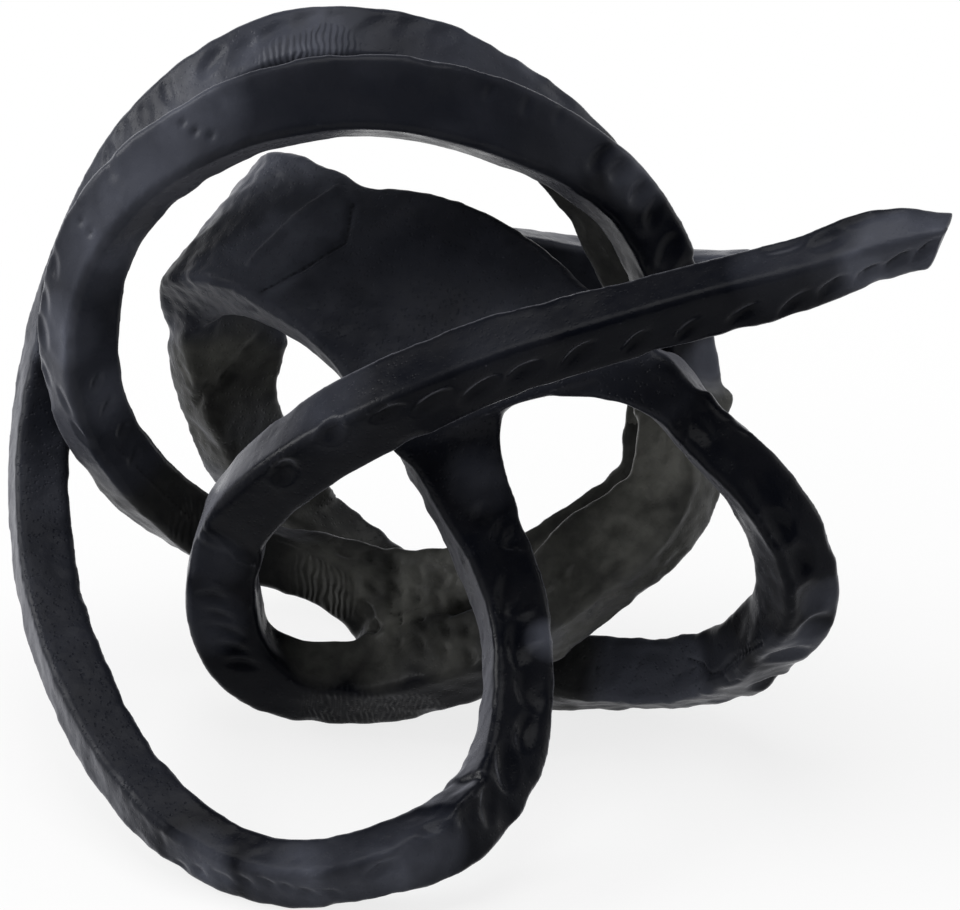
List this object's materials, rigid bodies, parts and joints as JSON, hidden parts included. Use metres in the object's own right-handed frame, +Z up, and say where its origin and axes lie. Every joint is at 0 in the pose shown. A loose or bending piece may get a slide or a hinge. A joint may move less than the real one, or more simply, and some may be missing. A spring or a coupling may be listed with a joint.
{
  "type": "knot sculpture",
  "caption": "Free-standing knot of a thick, roughly square metal bar that winds through itself, hammered and painted near black, as a decorative ornament.",
  "frame": {"origin": "middle of the footprint, on the floor that the ground feet rest on", "axes": "+X to the viewer's right along the knot's longest extent, +Y away from the viewer, +Z up"},
  "size_m": [0.2784, 0.2157, 0.2088],
  "materials": {
    "smooth_skin": "near-black satin paint on smoothly ground casting",
    "hammered_skin": "near-black satin paint over hammered dents",
    "pitted_skin": "near-black satin paint over fine pits",
    "rough_skin": "near-black satin paint over rock-like casting"
  },
  "bodies": {
    "root": {"tail_bar": "hammered_skin", "small_loop": "hammered_skin", "cradle_front": "hammered_skin", "ring_right": "smooth_skin", "ring_top": "smooth_skin", "ring_left": "smooth_skin", "cradle_left": "hammered_skin", "cradle_back": "hammered_skin", "inner_riser": "hammered_skin", "back_ring": "hammered_skin", "outer_loop_left": "rough_skin", "outer_loop_bottom": "hammered_skin", "riser": "hammered_skin", "riser_head": "pitted_skin", "saddle": "pitted_skin", "corner_block": "rough_skin", "rear_strap": "rough_skin", "rear_foot": "rough_skin", "side_loop_bottom": "rough_skin", "side_loop_right": "hammered_skin", "side_loop_head": "pitted_skin", "hidden_tail": "hammered_skin"}
  },
  "joints": []
}
